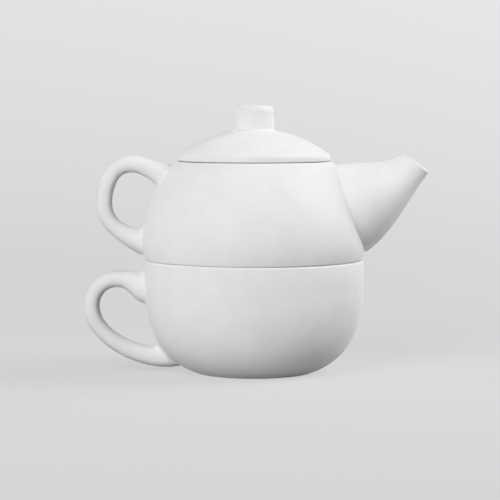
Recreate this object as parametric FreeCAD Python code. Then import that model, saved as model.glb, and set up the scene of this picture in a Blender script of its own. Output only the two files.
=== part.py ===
import FreeCAD, Part
import math
import os

# A stacked tea set for one in white earthenware: a cup, the teapot that rests
# on its rim, and the teapot's lid. Millimetres, +Z up, the spout towards +X,
# both handles towards -X, the origin in the middle of the cup's foot.

# Heights of the cup and of the teapot without its lid, and the radius of the
# joint between them, which the other radii are measured from
CUP_H = 59.0
POT_H = 50.9
SEAM_R = 56.9

# Cup
CUP_SWELL = 0.4
CUP_WIDEST_BELOW = 5.5
CUP_FOOT_INSET = 26.2
CUP_BULGE = 2.9
CUP_WALL = 4.8
CUP_FLOOR = 4.5
CUP_INNER_BULGE = 3.4
FOOT_RING = 5.0
FOOT_HOLLOW = 1.4
FOOT_ROUND = 0.9
CUP_LIP_ROUND = 1.2

# Teapot body
POT_SWELL = 1.5
POT_WIDEST_ABOVE = 10.0
POT_BULGE = 1.87
POT_WALL = 4.5
POT_INNER_BULGE = 2.5
RIM_INSET = 16.3
RIM_WIDTH = 5.2
SEAM_ROUND = 1.0
RIM_ROUND = 0.9
MOUTH_ROUND = 0.8
SPIGOT_DROP = 7.0
SPIGOT_PLAY = 1.5
SPIGOT_ROUND = 1.5

# Lid: it stands on the inner part of the rim, and its edge is a little raised
LID_INSET = 1.0
LID_RISE = 13.5
LID_EDGE = 3.4
LID_EDGE_LIFT = 0.5
LID_SEAT = 1.8
LID_TOP_ROUND = 2.6
LID_UNDER_ROUND = 0.5
LID_WALL = 4.0
LID_RING_PLAY = 1.0
LID_RING_DROP = 6.0
LID_RING_WALL = 3.4
LID_RING_ROUND = 1.0
KNOB_R = 10.5
KNOB_H = 12.7
KNOB_TAPER = 0.3
KNOB_DOME = 0.9
KNOB_ROUND = 3.2
KNOB_FOOT_ROUND = 1.4
VENT_R = 1.5
VENT_SHARE = 0.48

# Handles, from the upper root to the lower: how far the middle line is out from
# the joint's radius, its height and the strap's half thickness there, both as
# shares of the height of the piece, as is the rounding of the roots
CUP_HANDLE = [
    (-6.9, 0.739, 0.142), (2.7, 0.766, 0.122), (7.3, 0.8, 0.092), (12.5, 0.819, 0.073), (19.3, 0.807, 0.071),
    (25.3, 0.732, 0.07), (28.2, 0.586, 0.069), (26.4, 0.451, 0.069), (21.3, 0.336, 0.069), (13.1, 0.232, 0.073),
    (3.4, 0.161, 0.078), (-6.7, 0.127, 0.086), (-19.9, 0.149, 0.088),
]
POT_HANDLE = [
    (-16.9, 0.782, 0.149), (-8.5, 0.872, 0.124), (-1.3, 0.939, 0.096), (7.6, 0.972, 0.086), (14.7, 0.921, 0.083),
    (19.2, 0.794, 0.082), (21.3, 0.633, 0.082), (20.9, 0.485, 0.082), (17.4, 0.361, 0.081), (11.9, 0.273, 0.09),
    (5.1, 0.208, 0.118), (-4.9, 0.155, 0.149),
]
HANDLE_EXTRA_WIDTH = 2.6
HANDLE_SQUARENESS = 2.5
ROOT_ROUND = 0.04
TOUCH = 0.01

# Spout, from its root to its lip: the top and the lowest point of each section,
# measured as the handles are, and the section's half width
SPOUT = [
    ((-26.9, 0.951), (-13.9, 0.079), 26.0),
    ((-9.3, 0.974), (2.5, 0.086), 26.0),
    ((1.4, 0.986), (11.8, 0.253), 23.0),
    ((10.1, 0.998), (20.9, 0.497), 17.4),
    ((15.5, 1.039), (28.8, 0.739), 12.0),
    ((20.8, 1.084), (34.4, 0.888), 8.9),
]
SPOUT_WALL = 4.2
SPOUT_LIP_WALL = 2.7
SPOUT_LIP_ROUND = 1.0

# What follows from these sizes where the pieces meet
RIM_Z = CUP_H + POT_H
BORE_R = SEAM_R + CUP_SWELL - CUP_WALL
RIM_R = SEAM_R - RIM_INSET
MOUTH_R = RIM_R - RIM_WIDTH


def at(x, z, y=0.0):
    return FreeCAD.Vector(x, y, z)


def on_back(r, z):
    """A point of a turned profile, drawn at the back so that its seam lies there."""
    return FreeCAD.Vector(0, r, z)


def oval_point(turn, wide, high, power):
    """The point of a squared oval in the direction turn. Power 2 is a plain ellipse."""
    sum_of_powers = abs(math.cos(turn) / wide) ** power + abs(math.sin(turn) / high) ** power
    reach = sum_of_powers ** (-1 / power)
    return reach * math.cos(turn), reach * math.sin(turn)


def bulge(radius, widest_z, end_r, end_z, power):
    """Points (r, z) of a squared oval from its widest point to (end_r, end_z)."""
    side = 1 if end_z > widest_z else -1
    high = abs(end_z - widest_z) / (1 - (end_r / radius) ** power) ** (1 / power)
    last = math.atan2(abs(end_z - widest_z), end_r)
    steps = [oval_point(last * i / 8, radius, high, power) for i in range(9)]
    return [(r, widest_z + side * z) for r, z in steps]


def corners(points):
    """Straight edges through the points (r, z) of a turned profile."""
    return Part.makePolygon([on_back(r, z) for r, z in points]).Edges


def curve(points):
    """A smooth edge through the points (r, z) of a turned profile."""
    spline = Part.BSplineCurve()
    spline.interpolate([on_back(r, z) for r, z in points])
    return spline.toShape()


def dome(radius, centre_z, r_from, r_to):
    """The arc of a turned profile about a centre on the middle axis."""
    spots = [r_from, (r_from + r_to) / 2, r_to]
    return Part.Arc(*[on_back(r, centre_z + math.sqrt(radius ** 2 - r ** 2)) for r in spots]).toShape()


def turned(edges):
    """The solid that a closed profile makes when it turns about the middle axis."""
    face = Part.Face(Part.Wire(Part.sortEdges(edges)[0]))
    return face.revolve(at(0, 0), at(0, 1), 360)


def edge_at(solid, spot):
    """The edge of a solid that passes nearest to a spot."""
    probe = Part.Vertex(spot)
    return min(solid.Edges, key=lambda edge: edge.distToShape(probe)[0])


def rounded(solid, radius, spots):
    """The solid with its circular edges through the points (r, z) rounded."""
    return solid.makeFillet(radius, [edge_at(solid, on_back(-r, z)) for r, z in spots])


def oval(middle, up, side, power):
    """A closed oval wire about a point, with its half height and half width as vectors."""
    points = []
    for i in range(16):
        sideways, upwards = oval_point(math.pi * i / 8, side.Length, up.Length, power)
        points.append(middle + up * (upwards / up.Length) + side * (sideways / side.Length))
    spline = Part.BSplineCurve()
    spline.interpolate(points, PeriodicFlag=True)
    return Part.Wire(spline.toShape())


def handle(stations, foot_z, height):
    """A strap along its middle line that widens into its two roots."""
    path = Part.BSplineCurve()
    path.interpolate([at(-SEAM_R - out, foot_z + up * height, half * height) for out, up, half in stations])
    sections = []
    for i in range(17):
        place = path.parameterAtDistance(path.length() * i / 16, path.FirstParameter)
        spot = path.value(place)
        along = path.tangent(place)[0]
        across = at(-along.z, along.x).normalize() * spot.y
        wide = FreeCAD.Vector(0, spot.y + HANDLE_EXTRA_WIDTH, 0)
        sections.append(oval(at(spot.x, spot.z), across, wide, HANDLE_SQUARENESS))
    return Part.makeLoft(sections, True)


def with_handle(body, stations, foot_z, height):
    """The body with its handle, and the hollow corners where their surfaces meet rounded."""
    strap = handle(stations, foot_z, height)
    joined = body.fuse(strap)
    roots = []
    for edge in joined.Edges:
        middle = Part.Vertex(edge.valueAt((edge.FirstParameter + edge.LastParameter) / 2))
        if max(middle.distToShape(skin)[0] for skin in body.Shells + strap.Shells) < TOUCH:
            roots.append(edge)
    return joined.makeFillet(ROOT_ROUND * height, roots)


def cup_outside():
    foot_r = SEAM_R - CUP_FOOT_INSET
    ring_r = foot_r - FOOT_RING
    bowl = bulge(SEAM_R + CUP_SWELL, CUP_H - CUP_WIDEST_BELOW, foot_r, 0, CUP_BULGE)
    side = [(SEAM_R, CUP_H)] + bowl
    under = [(foot_r, 0), (ring_r, 0), (ring_r, FOOT_HOLLOW), (0, FOOT_HOLLOW), (0, CUP_H), (SEAM_R, CUP_H)]
    solid = turned([curve(side)] + corners(under))
    return rounded(solid, FOOT_ROUND, [(foot_r, 0), (ring_r, 0)])


def cup_inside():
    bowl = bulge(BORE_R, CUP_H - CUP_WIDEST_BELOW, 0, FOOT_HOLLOW + CUP_FLOOR, CUP_INNER_BULGE)
    above = CUP_H + CUP_WALL
    return turned([curve(bowl)] + corners([bowl[-1], (0, above), (BORE_R, above), bowl[0]]))


def cup():
    solid = with_handle(cup_outside(), CUP_HANDLE, 0, CUP_H)
    solid = solid.cut(cup_inside())
    return rounded(solid, CUP_LIP_ROUND, [(SEAM_R, CUP_H), (BORE_R, CUP_H)])


def pot_outside():
    base_z = CUP_H - SPIGOT_DROP
    spigot_r = BORE_R - SPIGOT_PLAY
    ring_r = spigot_r - FOOT_RING
    side = [(SEAM_R, CUP_H)] + bulge(SEAM_R + POT_SWELL, CUP_H + POT_WIDEST_ABOVE, RIM_R, RIM_Z, POT_BULGE)
    under = [
        (SEAM_R, CUP_H), (spigot_r, CUP_H), (spigot_r, base_z), (ring_r, base_z),
        (ring_r, base_z + FOOT_HOLLOW), (0, base_z + FOOT_HOLLOW), (0, RIM_Z), (RIM_R, RIM_Z),
    ]
    solid = turned([curve(side)] + corners(under))
    solid = rounded(solid, SPIGOT_ROUND, [(spigot_r, base_z)])
    solid = rounded(solid, FOOT_ROUND, [(ring_r, base_z)])
    solid = rounded(solid, SEAM_ROUND, [(SEAM_R, CUP_H)])
    return rounded(solid, RIM_ROUND, [(RIM_R, RIM_Z)])


def pot_inside():
    radius = SEAM_R + POT_SWELL - POT_WALL
    widest_z = CUP_H + POT_WIDEST_ABOVE
    floor_z = CUP_H - SPIGOT_DROP + FOOT_HOLLOW + POT_WALL
    low = bulge(radius, widest_z, 0, floor_z, POT_INNER_BULGE)
    high = bulge(radius, widest_z, MOUTH_R, RIM_Z - POT_WALL, 2)
    above = RIM_Z + POT_WALL
    side = curve(low[::-1] + high[1:])
    return turned([side] + corners([high[-1], (MOUTH_R, above), (0, above), low[-1]]))


def spout_section(number, wall):
    """The middle, the half height and the half width of a section of the spout, inside a wall."""
    top, low, half_width = SPOUT[number]
    top, low = [at(SEAM_R + out, CUP_H + share * POT_H) for out, share in (top, low)]
    middle = (top + low) / 2
    up = top - middle
    return middle, up * (1 - wall / up.Length), FreeCAD.Vector(0, half_width - wall, 0)


def spout(root_wall, lip_wall):
    """The solid spout or, with its walls left out, the channel inside it."""
    last = len(SPOUT) - 1
    walls = [root_wall + (lip_wall - root_wall) * number / last for number in range(last + 1)]
    return Part.makeLoft([oval(*spout_section(number, wall), 2) for number, wall in enumerate(walls)], True)


def teapot():
    solid = with_handle(pot_outside(), POT_HANDLE, CUP_H, POT_H)
    solid = solid.fuse(spout(0, 0))
    solid = solid.cut(spout(SPOUT_WALL, SPOUT_LIP_WALL))
    solid = solid.cut(pot_inside())
    solid = rounded(solid, MOUTH_ROUND, [(MOUTH_R, RIM_Z)])
    lip = []
    for wall in (0, SPOUT_LIP_WALL):
        middle, up, side = spout_section(-1, wall)
        lip.append(edge_at(solid, middle + up))
    return solid.makeFillet(SPOUT_LIP_ROUND, lip)


def lid():
    lid_r = RIM_R - LID_INSET
    ring_r = MOUTH_R - LID_RING_PLAY
    hole_r = ring_r - LID_RING_WALL
    seat_r = MOUTH_R + LID_SEAT
    spring_z = RIM_Z + LID_EDGE
    outer = (lid_r ** 2 + LID_RISE ** 2) / (2 * LID_RISE)
    inner = outer - LID_WALL
    centre_z = spring_z + LID_RISE - outer
    knob_z = centre_z + math.sqrt(outer ** 2 - KNOB_R ** 2)
    inner_z = centre_z + math.sqrt(inner ** 2 - hole_r ** 2)
    top_z = spring_z + LID_RISE + KNOB_H
    shoulder = (KNOB_R - KNOB_TAPER, top_z - KNOB_DOME)
    cap_r = (shoulder[0] ** 2 + KNOB_DOME ** 2) / (2 * KNOB_DOME)
    low_z = RIM_Z - LID_RING_DROP
    under = [
        (hole_r, inner_z), (hole_r, low_z), (ring_r, low_z), (ring_r, RIM_Z), (seat_r, RIM_Z),
        (lid_r, RIM_Z + LID_EDGE_LIFT), (lid_r, spring_z),
    ]
    domes = [dome(outer, centre_z, KNOB_R, lid_r), dome(inner, centre_z, 0, hole_r)]
    cap = dome(cap_r, top_z - cap_r, 0, shoulder[0])
    middle = [(0, top_z), (0, centre_z + inner)]
    solid = turned(domes + [cap] + corners(under) + corners(middle) + corners([(KNOB_R, knob_z), shoulder]))
    solid = rounded(solid, KNOB_ROUND, [shoulder])
    solid = rounded(solid, KNOB_FOOT_ROUND, [(KNOB_R, knob_z)])
    solid = rounded(solid, LID_TOP_ROUND, [(lid_r, spring_z)])
    solid = rounded(solid, LID_UNDER_ROUND, [(lid_r, RIM_Z + LID_EDGE_LIFT)])
    solid = rounded(solid, LID_RING_ROUND, [(ring_r, low_z), (hole_r, low_z)])
    vent = Part.makeCylinder(VENT_R, LID_RISE + KNOB_H, FreeCAD.Vector(0, VENT_SHARE * lid_r, RIM_Z))
    return solid.cut(vent)


os.makedirs("parts", exist_ok=True)
cup().exportStep("parts/cup.step")
teapot().exportStep("parts/teapot.step")
lid().exportStep("parts/lid.step")
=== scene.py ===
import math

import bpy
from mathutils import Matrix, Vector

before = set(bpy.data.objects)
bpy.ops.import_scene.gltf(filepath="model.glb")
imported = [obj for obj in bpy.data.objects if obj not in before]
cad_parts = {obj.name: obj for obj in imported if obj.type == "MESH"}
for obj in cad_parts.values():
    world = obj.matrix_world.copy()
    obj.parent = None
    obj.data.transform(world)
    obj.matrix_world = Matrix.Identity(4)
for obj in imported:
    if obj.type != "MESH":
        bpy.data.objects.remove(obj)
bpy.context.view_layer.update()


# Cup
# The lowest of the three pieces, cast in white earthenware with its handle stuck
# on while the clay was soft. It has been fired once and left unglazed, and it
# stands on the ring under its foot.

MM = 0.001

# Bisque is dry and chalky: nearly white, flat in the light with a weak broad sheen,
# a little uneven in tone where the clay took up water, and fine as sandpaper to touch.
BISQUE = "#E9E9E8"
BISQUE_THIN = "#E4E4E3"
BISQUE_ROUGHNESS = 0.6
BISQUE_CHALK = 0.5
CLOUD = 11 * MM
CLOUD_ROUGHNESS = 0.6
THIN_UP_TO = 0.3
FULL_FROM = 0.7

# Fired clay grains are about 0.2 mm across, drawn three times as coarse to show.
GRAIN = 0.6 * MM
GRAIN_DEPTH = 0.03 * MM
GRAIN_ROUGHNESS = 0.7

# Sponging the soft clay leaves shallow waves, and air in it a few pinholes.
WAVE = 14 * MM
WAVE_DEPTH = 0.12 * MM
PINHOLE_SPACING = 7 * MM
PINHOLE = 0.22 * MM
PINHOLE_DEPTH = 0.1 * MM


def linear(code):
    """A colour written as sRGB hex, as the linear values that a shader takes."""
    parts = [int(code[i:i + 2], 16) / 255 for i in (1, 3, 5)]
    return [*(p / 12.92 if p <= 0.04045 else ((p + 0.055) / 1.055) ** 2.4 for p in parts), 1]


def add(material, kind, settings, **links):
    """Adds a node with its settings and its links. i0, i1 and so on are inputs by their place."""
    node = material.node_tree.nodes.new("ShaderNode" + kind)
    for name, value in settings.items():
        if name in node.inputs:
            node.inputs[name].default_value = value
        else:
            setattr(node, name, value)
    for name, source in links.items():
        place = int(name[1:]) if name[1:].isdigit() else name.replace("_", " ")
        material.node_tree.links.new(source, node.inputs[place])
    return node


def blank_material(name):
    material = bpy.data.materials.new(name)
    material.use_nodes = True
    material.node_tree.nodes.clear()
    return material


def set_stops(ramp, stops):
    """Gives a colour ramp its (position, sRGB hex) stops."""
    elements = ramp.color_ramp.elements
    while len(elements) < len(stops):
        elements.new(1.0)
    for element, (position, code) in zip(elements, stops):
        element.position = position
        element.color = linear(code)


def bisque(name, shift):
    """Unglazed fired clay. shift moves its pattern, so that no two pieces are alike."""
    clay = blank_material(name)
    place = add(clay, "TexCoord", {}).outputs["Object"]
    moved = add(clay, "Mapping", {"Location": (shift, 2 * shift, 3 * shift)}, Vector=place)
    place = moved.outputs["Vector"]

    clouds = add(
        clay, "TexNoise", {"Scale": 1 / CLOUD, "Detail": 5.0, "Roughness": CLOUD_ROUGHNESS}, Vector=place,
    )
    tone = add(clay, "ValToRGB", {}, Fac=clouds.outputs["Fac"])
    set_stops(tone, [(THIN_UP_TO, BISQUE_THIN), (FULL_FROM, BISQUE)])

    waves = add(clay, "TexNoise", {"Scale": 1 / WAVE, "Detail": 1.0}, Vector=place)
    uneven = add(clay, "Bump", {"Distance": WAVE_DEPTH}, Height=waves.outputs["Fac"])
    grains = add(
        clay, "TexNoise", {"Scale": 1 / GRAIN, "Detail": 3.0, "Roughness": GRAIN_ROUGHNESS}, Vector=place,
    )
    sandy = add(
        clay, "Bump", {"Distance": GRAIN_DEPTH},
        Height=grains.outputs["Fac"], Normal=uneven.outputs["Normal"],
    )
    cells = add(clay, "TexVoronoi", {"Scale": 1 / PINHOLE_SPACING}, Vector=place)
    holes = add(
        clay, "MapRange", {"From Min": 0.0, "From Max": PINHOLE / PINHOLE_SPACING},
        Value=cells.outputs["Distance"],
    )
    pitted = add(
        clay, "Bump", {"Distance": PINHOLE_DEPTH},
        Height=holes.outputs["Result"], Normal=sandy.outputs["Normal"],
    )
    skin = add(
        clay, "BsdfPrincipled", {"Roughness": BISQUE_ROUGHNESS, "Diffuse Roughness": BISQUE_CHALK},
        Base_Color=tone.outputs["Color"], Normal=pitted.outputs["Normal"],
    )
    add(clay, "OutputMaterial", {}, Surface=skin.outputs["BSDF"])
    return clay


def dress(node, material):
    """Gives a node of the frame its material."""
    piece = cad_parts[node]
    piece.data.materials.clear()
    piece.data.materials.append(material)


CUP_PATTERN = 0.11

dress("cup", bisque("bisque of the cup", CUP_PATTERN))


# Teapot
# One casting of the same clay with its spout and handle. Its foot drops into the
# cup's mouth and its shoulder rests on the cup's rim.

TEAPOT_PATTERN = 0.37

dress("teapot", bisque("bisque of the teapot", TEAPOT_PATTERN))


# Lid
# Pressed from the same clay with its knob, and with a ring below that keeps it in
# the teapot's mouth. It only rests there.

LID_PATTERN = 0.71

dress("lid", bisque("bisque of the lid", LID_PATTERN))


# Floor and backdrop
# A wide sheet of matte white studio paper on the table, bent up behind the set so
# that no edge shows. It isn't part of the object.

SHEET_HALF_WIDTH = 2.5
SHEET_FRONT = -2.0
BEND_START = 0.6
BEND = 0.8
BEND_STEPS = 24
SHEET_TOP = 3.0

# The paper's colour in the light, and how much of what the camera sees is lit like this
PAPER = "#D9D9DA"
PAPER_LIT = 0.2

# The rest is painted light and shade: a glowing tone that changes with the way back and up the sheet, in
# metres
PAPER_PAINTED_LIGHT = [
    (-0.4, "#D2D2D2"), (-0.1, "#DBDBDB"), (0.2, "#D8D8D8"), (0.75, "#DDDDDD"), (1.45, "#EDEDED"),
]

# The tone of the table that the clay sees: what it throws up on the set is dim
TABLE = "#8A8A8A"


def backdrop():
    profile = [(SHEET_FRONT, 0.0)]
    for i in range(BEND_STEPS + 1):
        turn = math.pi / 2 * i / BEND_STEPS
        profile.append((BEND_START + BEND * math.sin(turn), BEND * (1 - math.cos(turn))))
    profile.append((BEND_START + BEND, SHEET_TOP))
    corners = [(x, y, z) for y, z in profile for x in (-SHEET_HALF_WIDTH, SHEET_HALF_WIDTH)]
    faces = [(2 * i, 2 * i + 1, 2 * i + 3, 2 * i + 2) for i in range(len(profile) - 1)]
    mesh = bpy.data.meshes.new("backdrop")
    mesh.from_pydata(corners, [], faces)
    mesh.shade_smooth()
    sheet = bpy.data.objects.new("backdrop", mesh)
    bpy.context.scene.collection.objects.link(sheet)
    return sheet


def paper():
    """Matte paper as the camera and the sheen on the clay see it. All other light meets the dim table."""
    sheet = blank_material("studio paper")
    place = add(sheet, "SeparateXYZ", {}, Vector=add(sheet, "TexCoord", {}).outputs["Object"])
    run = add(sheet, "Math", {"operation": "ADD"}, i0=place.outputs["Y"], i1=place.outputs["Z"])
    first, last = PAPER_PAINTED_LIGHT[0][0], PAPER_PAINTED_LIGHT[-1][0]
    along = add(sheet, "MapRange", {"From Min": first, "From Max": last}, Value=run.outputs["Value"])
    tone = add(sheet, "ValToRGB", {}, Fac=along.outputs["Result"])
    set_stops(tone, [((at - first) / (last - first), code) for at, code in PAPER_PAINTED_LIGHT])
    lit = add(sheet, "BsdfDiffuse", {"Color": linear(PAPER)})
    # Painted light and shade: the camera sees a glowing tone that changes along the sheet, lightest at the
    # top
    flat = add(sheet, "Emission", {}, Color=tone.outputs["Color"])
    seen = add(sheet, "MixShader", {"Fac": PAPER_LIT}, i1=flat.outputs["Emission"], i2=lit.outputs["BSDF"])
    table = add(sheet, "BsdfDiffuse", {"Color": linear(TABLE)})
    ray = add(sheet, "LightPath", {})
    direct = add(
        sheet, "Math", {"operation": "MAXIMUM"},
        i0=ray.outputs["Is Camera Ray"], i1=ray.outputs["Is Glossy Ray"],
    )
    both = add(
        sheet, "MixShader", {},
        i0=direct.outputs["Value"], i1=table.outputs["BSDF"], i2=seen.outputs["Shader"],
    )
    add(sheet, "OutputMaterial", {}, Surface=both.outputs["Shader"])
    return sheet


backdrop().data.materials.append(paper())


# Light
# A tall window on the left of the camera, hung as two soft squares, a reflector on
# the right that opens the spout's side, and a low one behind it that draws the edges.

SET_MIDDLE = (0, 0, 0.07)
LAMP_DISTANCE = 1.6
LAMP_SIDE = 0.9


def softbox(name, azimuth, height, watts):
    """A square diffused lamp aimed at the set, azimuth degrees round from the camera to the right."""
    lamp = bpy.data.lights.new(name, "AREA")
    lamp.shape = "SQUARE"
    lamp.size = LAMP_SIDE
    lamp.energy = watts
    holder = bpy.data.objects.new(name, lamp)
    around, up = math.radians(azimuth), math.radians(height)
    level = math.cos(up)
    away = Vector((math.sin(around) * level, -math.cos(around) * level, math.sin(up)))
    holder.location = Vector(SET_MIDDLE) + away * LAMP_DISTANCE
    holder.rotation_mode = "QUATERNION"
    holder.rotation_quaternion = away.to_track_quat("Z", "Y")
    bpy.context.scene.collection.objects.link(holder)


softbox("upper window", -26, 35, 16)
softbox("lower window", -30, 5, 12.5)
softbox("reflector", 90, 35, 19)
softbox("rim", 120, 5, 21)

# The studio is dark apart from the lamps
air = bpy.data.worlds.new("studio air")
air.use_nodes = True
air.node_tree.nodes["Background"].inputs["Color"].default_value = (1, 1, 1, 1)
air.node_tree.nodes["Background"].inputs["Strength"].default_value = 0.0
bpy.context.scene.world = air


# Camera
# Level with the lid and a metre off, looking a little down.

CAMERA_SPOT = (-0.00214, -1.000, 0.1378)
CAMERA_DOWN = 4.245
LENS = 138.0
SENSOR = 36.0

lens = bpy.data.cameras.new("camera")
lens.lens = LENS
lens.sensor_width = SENSOR
camera = bpy.data.objects.new("camera", lens)
camera.location = CAMERA_SPOT
camera.rotation_euler = (math.radians(90 - CAMERA_DOWN), 0, 0)
bpy.context.scene.collection.objects.link(camera)
bpy.context.scene.camera = camera

bpy.context.scene.view_settings.view_transform = "Standard"
